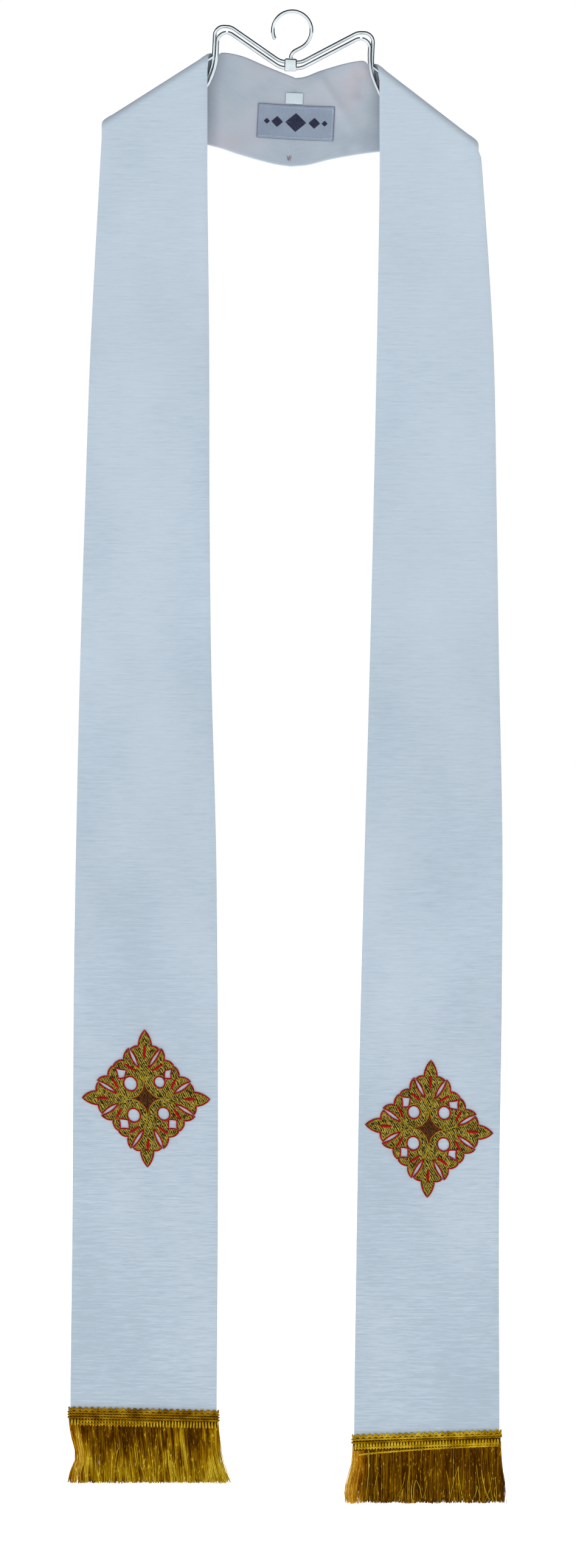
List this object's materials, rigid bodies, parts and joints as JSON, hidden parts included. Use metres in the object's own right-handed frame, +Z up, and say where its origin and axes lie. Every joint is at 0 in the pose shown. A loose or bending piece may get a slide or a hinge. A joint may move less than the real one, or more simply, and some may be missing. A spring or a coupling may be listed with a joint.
{
  "type": "clergy stole on a wire hanger",
  "caption": "Long white stole folded over a chrome wire hanger, with leaf crosses and gold fringed hems on its hanging fronts.",
  "frame": {"origin": "inside top of the hanger's hook, where the rail carries it", "axes": "+X to the viewer's right, +Y from the front towards the back, +Z up"},
  "size_m": [0.3832, 0.0295, 1.3128],
  "materials": {
    "face_cloth": "matt slub weave, white with a cool cast",
    "lining_cloth": "plain satin lining, soft sheen",
    "gold_fringe": "twisted gold rayon braid and fringe",
    "gold_embroidery": "dense gold stitching with red edges",
    "label_cloth": "woven satin label",
    "care_cloth": "white satin ribbon",
    "chrome_wire": "polished chrome"
  },
  "bodies": {
    "root": {"face_left": "face_cloth", "face_right": "face_cloth", "lining_left": "lining_cloth", "lining_right": "lining_cloth", "back_face_left": "face_cloth", "back_face_right": "face_cloth", "back_lining_left": "lining_cloth", "back_lining_right": "lining_cloth", "fringe_left": "gold_fringe", "fringe_right": "gold_fringe", "emblem_left": "gold_embroidery", "emblem_right": "gold_embroidery", "neck_label": "label_cloth", "care_label": "care_cloth", "hanger_frame": "chrome_wire", "hanger_hook": "chrome_wire"}
  },
  "joints": []
}
